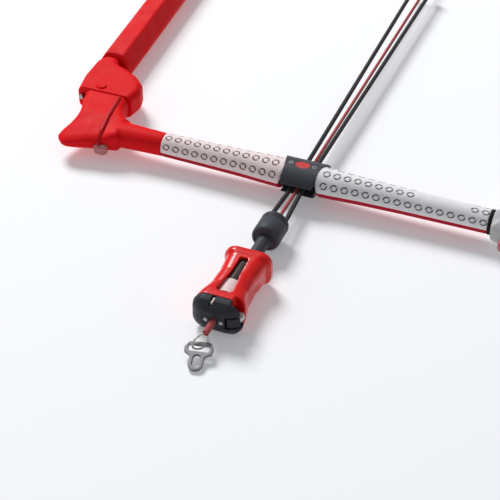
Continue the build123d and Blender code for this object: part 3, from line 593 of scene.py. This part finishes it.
def horn_shape(co):
    """Round the front and the tip of the bar end: the block becomes a tapering horn."""
    x, y, z = abs(co.x) * 1000, co.y * 1000 - BAR_Y, co.z * 1000 - BAR_Z
    beyond = clamped((x - HORN_START_X) / HORN_BLEND)
    forward = clamped((HORN_RIDGE_Y - y) / (HORN_RIDGE_Y - HORN_FRONT_Y))
    height = faded((1 - 0.5 * forward) * max(0.0, 1 - forward ** 3) ** 0.5, beyond)
    if z < 0:
        height = faded(height, HORN_UNDERSIDE)
    tip = clamped((x - HORN_TIP_START) / (HORN_TIP_X - HORN_TIP_START))
    near_front = clamped((TIP_BACK_Y - y) / TIP_FADE)
    pointed = max(0.0, 1 - tip ** 2.4) ** 0.5
    height *= faded(TIP_HEIGHT + (1 - TIP_HEIGHT) * pointed, near_front)
    if y < TIP_BACK_Y:
        depth = faded(TIP_DEPTH + (1 - TIP_DEPTH) * pointed, near_front)
        y = TIP_CENTRE_Y + (y - TIP_CENTRE_Y) * depth
    lift = -TIP_DROP * tip * near_front
    return Vector((co.x, (y + BAR_Y) * MM, (z * height + lift + BAR_Z) * MM))


def strap_route(end_skin, hand):
    """Places on the end's surface under the strap, and the directions out of it there."""
    surface = bmesh.new()
    surface.from_mesh(end_skin.data)
    tree = BVHTree.FromBMesh(surface)
    rays = [([at(hand * (x + step), y, ABOVE_Z) for step in (-STRAP_CLEAR, STRAP_CLEAR)],
             Vector((0, 0, -1))) for x, y in STRAP_FROM_ABOVE]
    rays += [([at(hand * (x + step), IN_FRONT_Y, z) for step in (-STRAP_CLEAR, STRAP_CLEAR)],
              Vector((0, 1, 0))) for x, z in STRAP_FROM_FRONT]
    centres, normals = [], []
    for starts, direction in rays:
        hits = [tree.ray_cast(start, direction) for start in starts]
        normals.append((hits[0][1] + hits[1][1]).normalized())
        centres.append((hits[0][0] + hits[1][0]) / 2 + normals[-1] * STRAP_LIFT)
    surface.free()
    for _ in range(3):
        normals = [normals[0]] + [
            (a + b * 2 + c).normalized() for a, b, c in zip(normals, normals[1:], normals[2:])
        ] + [normals[-1]]
    return centres, normals


def strap_rings(centres, normals):
    """A flattened band laid along the strap's route."""
    rings = []
    for index, (centre, normal) in enumerate(zip(centres, normals)):
        before, after = centres[max(0, index - 1)], centres[min(len(centres) - 1, index + 1)]
        side = (after - before).cross(normal).normalized()
        rings.append(circle(centre, side, normal, STRAP_HALF_WIDTH, STRAP_HALF_HEIGHT,
                            STRAP_SIDES))
    return loft_rings(rings)


for side, hand in HANDS:
    looks = FINISHES[side]
    end_skin = softened(f"end_body_{side}", f"end_skin_{side}", looks["rubber"], "bar",
                        passes=8, reshape=horn_shape)
    softened(f"outlet_head_{side}", f"head_skin_{side}", looks["rubber"], "bar")
    softened(f"strap_knob_{side}", f"knob_skin_{side}", "clear_rubber", "bar",
             voxel=0.5, passes=9)
    make_piece(f"strap_band_{side}", *strap_rings(*strap_route(end_skin, hand)), looks["strap"],
               "bar", looks["rubber_slot"], f"strap_{side}")

# ---------------------------------------------------------------- floats and leaders
OUTLET_X, OUTLET_Y = 266.0, 100.0       # where the float bends on the bar end
FLOAT_SPLAY = radians(4)
FLOAT_RADIUS, FLOAT_LENGTH = 21.0, 300.0
FLOAT_SIDES = 96
FLOAT_STEPS = 24
FLOAT_START = 13.3                      # from the outlet to the float's near end
HEAD_ROOM, HEAD_ROOM_FADE = 21.0, 60    # round hollow that leaves room for the head
FLOAT_EDGE = ((0, 0.12), (0, 0.55), (0, 0.93), (0.6, 0.975), (2.2, 1.0))
FLOAT_MIDDLE = FLOAT_LENGTH - 17 - 4.4  # over which the rings are spaced
CORNER_LIMIT = 0.972                    # of the radius: cuts the six corners off
LEADER_START, LEADER_BEYOND, KNOT_BEYOND = 22, 34, 4
LEADER_KNOT = ((-4.6, 2.0), (-4.2, 3.3), (-2.5, 4.4), (-0.9, 4.0), (0.4, 4.7), (2.4, 4.4),
               (4.0, 2.6), (4.6, 0.4))


def float_skin(pivot, across, direction):
    """The six-sided float with rounded corners, hollowed where it meets the bar end."""
    rings = []
    total = FLOAT_LENGTH - FLOAT_START
    stations = [*FLOAT_EDGE,
                *((2.2 + FLOAT_MIDDLE * k / FLOAT_STEPS, 1.0) for k in range(1, FLOAT_STEPS)),
                *((total - distance, scale) for distance, scale in reversed(FLOAT_EDGE))]
    for distance, scale in stations:
        ring = []
        for k in range(FLOAT_SIDES):
            angle = 2 * pi * k / FLOAT_SIDES
            corner_turn = angle % (pi / 3) - pi / 6
            radius = scale * min(FLOAT_RADIUS * cos(pi / 6) / cos(corner_turn),
                                 FLOAT_RADIUS * CORNER_LIMIT)
            s, u = radius * cos(angle), radius * sin(angle)
            hollow = max(FLOAT_START, max(0.0, HEAD_ROOM ** 2 - s * s) ** 0.5) - FLOAT_START
            along = FLOAT_START + distance + hollow * max(0.0, 1 - distance / HEAD_ROOM_FADE)
            ring.append(pivot + (across * s + Vector((0, 0, u)) + direction * along) * MM)
        rings.append(ring)
    return loft_rings(rings)


for side, hand in HANDS:
    looks = FINISHES[side]
    body, leader = f"float_{side}", looks["leader"]
    direction = Vector((hand * sin(FLOAT_SPLAY), cos(FLOAT_SPLAY), 0))
    across = Vector((cos(FLOAT_SPLAY), -hand * sin(FLOAT_SPLAY), 0))
    # The float lies on the floor with one of its flat sides.
    pivot = at(hand * OUTLET_X, OUTLET_Y, -(BAR_Z - FLOAT_RADIUS * cos(radians(30))))
    foam = make_piece(f"float_skin_{side}", *float_skin(pivot, across, direction),
                      looks["foam"], body, looks["foam_slot"], f"float_{side}")
    knot = make_piece(
        f"leader_knot_skin_{side}",
        *lathe(LEADER_KNOT,
               pivot + direction * (FLOAT_LENGTH + LEADER_BEYOND + KNOT_BEYOND) * MM,
               direction, 32),
        leader, body, leader, f"leader_knot_{side}")
    start = pivot + direction * LEADER_START * MM
    finish = pivot + direction * (FLOAT_LENGTH + LEADER_BEYOND) * MM
    points = [start + (finish - start) * t for t in (0, 0.3, 0.7, 1)]
    cord_curve(f"leader_cord_{side}", points, 2.0, leader, body, f"leader_line_{side}",
               length=(finish - start).length, far_end="knot", stiffness="medium", lay="taut",
               with_pieces=[knot])

# ---------------------------------------------------------------- lines
# Routes as (x, y): out of the barrel or the base, through the centre piece, to the knot.
SAFETY_ROUTE = ((0, -205), (0, -71), (1.0, 0), (3.0, 468))
LINE_KNOT = ((-4.4, 2.3), (-3.4, 3.9), (-1.4, 4.5), (-0.4, 4.0), (0.8, 4.5), (2.8, 3.9),
             (4.2, 1.8), (4.5, 0.3))
SAFETY_KNOT = ((-3.7, 1.7), (-2.8, 3.3), (-1.0, 3.8), (-0.2, 3.3), (0.8, 3.8), (2.6, 3.1),
               (3.7, 1.2), (3.8, 0.2))


def spaced(route):
    """More points along the straight runs, so that the curve keeps close to them."""
    points = [at(*route[0], LINE_DROP)]
    for (x0, y0), (x1, y1) in zip(route, route[1:]):
        for t in (0.35, 0.9) if (x1, y1) != route[-1] else (0.04, 0.4, 1.0):
            points.append(at(x0 + (x1 - x0) * t, y0 + (y1 - y0) * t, LINE_DROP))
    return points


def route_length(points):
    return sum((b - a).length for a, b in zip(points, points[1:]))


for side, hand in HANDS:
    points = spaced([(hand * 8.8, -79), (hand * 5.0, -4), (hand * 10.6, 424)])
    knot = make_piece(f"line_knot_skin_{side}",
                      *lathe(LINE_KNOT, at(hand * 10.6, 427.7, LINE_DROP), (0, 1, 0), 32),
                      "line_black", "line_set", "line_black", f"line_knot_{side}")
    cord_curve(f"depower_cord_{side}", points, 2.3, "line_black", "line_set",
               f"depower_line_{side}", length=route_length(points), far_end="knot",
               stiffness="medium", lay="taut", with_pieces=[knot])

points = spaced(SAFETY_ROUTE)
knot = make_piece("safety_knot_skin",
                  *lathe(SAFETY_KNOT, at(3, 471.2, LINE_DROP), (0, 1, 0), 32),
                  "line_red", "safety", "line_red", "safety_knot")
cord_curve("safety_cord", points, 1.7, "line_red", "safety", "safety_line",
           length=route_length(points), far_end="knot", stiffness="medium", lay="taut",
           with_pieces=[knot, cad_nodes["safety_stub"]])

# ---------------------------------------------------------------- loop of the leash plate
PLATE_YAW, PLATE_TILT = radians(11), radians(16)
PLATE_HINGE = Vector((-2.5, BAR_Y - 250, 9.5)) * MM
plate_across = Vector((cos(PLATE_YAW), sin(PLATE_YAW), 0))
plate_normal = Vector((sin(PLATE_YAW) * sin(PLATE_TILT), -cos(PLATE_YAW) * sin(PLATE_TILT),
                       cos(PLATE_TILT)))
plate_along = plate_normal.cross(plate_across)


def by_hinge(across, along, up):
    """A point given from the plate's hinge, in millimetres, in the plate's own directions."""
    return PLATE_HINGE + (plate_across * across + plate_along * along + plate_normal * up) * MM


# Out of the stub, round the plate's upper bar and back into the stub.
loop_points = [
    at(-1.4, -242, LINE_DROP), by_hinge(-5.6, 1.6, 4.2), by_hinge(-6.4, -3.4, 3.6),
    by_hinge(-5.6, -4.8, -1.2), by_hinge(0.0, -3.0, -4.4), by_hinge(5.6, 2.6, -4.0),
    by_hinge(6.4, 4.8, 1.0), at(1.4, -242, LINE_DROP),
]
cord_curve("ring_loop_cord", loop_points, 0.9, "line_white", "safety", "ring_loop",
           length=0.045, far_end="object", stiffness="limp", lay="taut")

# ---------------------------------------------------------------- floor, light and camera
FLOOR_SIZE, FLOOR_GAP = 12, 0.0003
bpy.ops.mesh.primitive_plane_add(size=FLOOR_SIZE, location=(0, 0, cad_low.z - FLOOR_GAP))
floor = bpy.context.object
floor.name = "floor"
_, floor_bsdf = new_material("floor_paper")
floor_bsdf.inputs["Base Color"].default_value = (0.83, 0.84, 0.855, 1)
floor_bsdf.inputs["Roughness"].default_value = 0.9
floor_bsdf.inputs["Specular IOR Level"].default_value = 0.1
floor_bsdf.inputs["Emission Color"].default_value = (0.95, 0.97, 1.0, 1)
floor_bsdf.inputs["Emission Strength"].default_value = 0.22
floor.data.materials.append(materials["floor_paper"])

world = bpy.data.worlds.new("studio")
bpy.context.scene.world = world
world.use_nodes = True
world.node_tree.nodes["Background"].inputs["Color"].default_value = (0.93, 0.95, 1.0, 1)
world.node_tree.nodes["Background"].inputs["Strength"].default_value = 0.26


def area_light(name, place, size, power):
    """A soft round light that looks at the middle of the part."""
    data = bpy.data.lights.new(name, "AREA")
    data.shape = "DISK"
    data.size = size
    data.energy = power
    obj = bpy.data.objects.new(name, data)
    obj.location = place
    obj.rotation_mode = "QUATERNION"
    obj.rotation_quaternion = (-Vector(place)).to_track_quat("-Z", "Y")
    bpy.context.scene.collection.objects.link(obj)


area_light("key", (-3.2, 3.0, 4.2), size=2.4, power=345)
area_light("fill", (-2.4, -1.6, 1.6), size=1.6, power=5)

# The camera as it was fitted to the photograph.
CAMERA_AZIMUTH, CAMERA_ELEVATION = radians(22.042), radians(39.231)
CAMERA_AIM = at(-5.52, -126.25)
CAMERA_DISTANCE = 1.31096
camera_data = bpy.data.cameras.new("camera")
camera_data.lens = 100.8
camera_data.sensor_width = 36
camera = bpy.data.objects.new("camera", camera_data)
bpy.context.scene.collection.objects.link(camera)
back = Vector((sin(CAMERA_AZIMUTH) * cos(CAMERA_ELEVATION),
               -cos(CAMERA_AZIMUTH) * cos(CAMERA_ELEVATION), sin(CAMERA_ELEVATION)))
camera.location = CAMERA_AIM + back * CAMERA_DISTANCE
camera.rotation_mode = "QUATERNION"
camera.rotation_quaternion = (-back).to_track_quat("-Z", "Y")
bpy.context.scene.camera = camera
bpy.context.scene.view_settings.view_transform = "Standard"
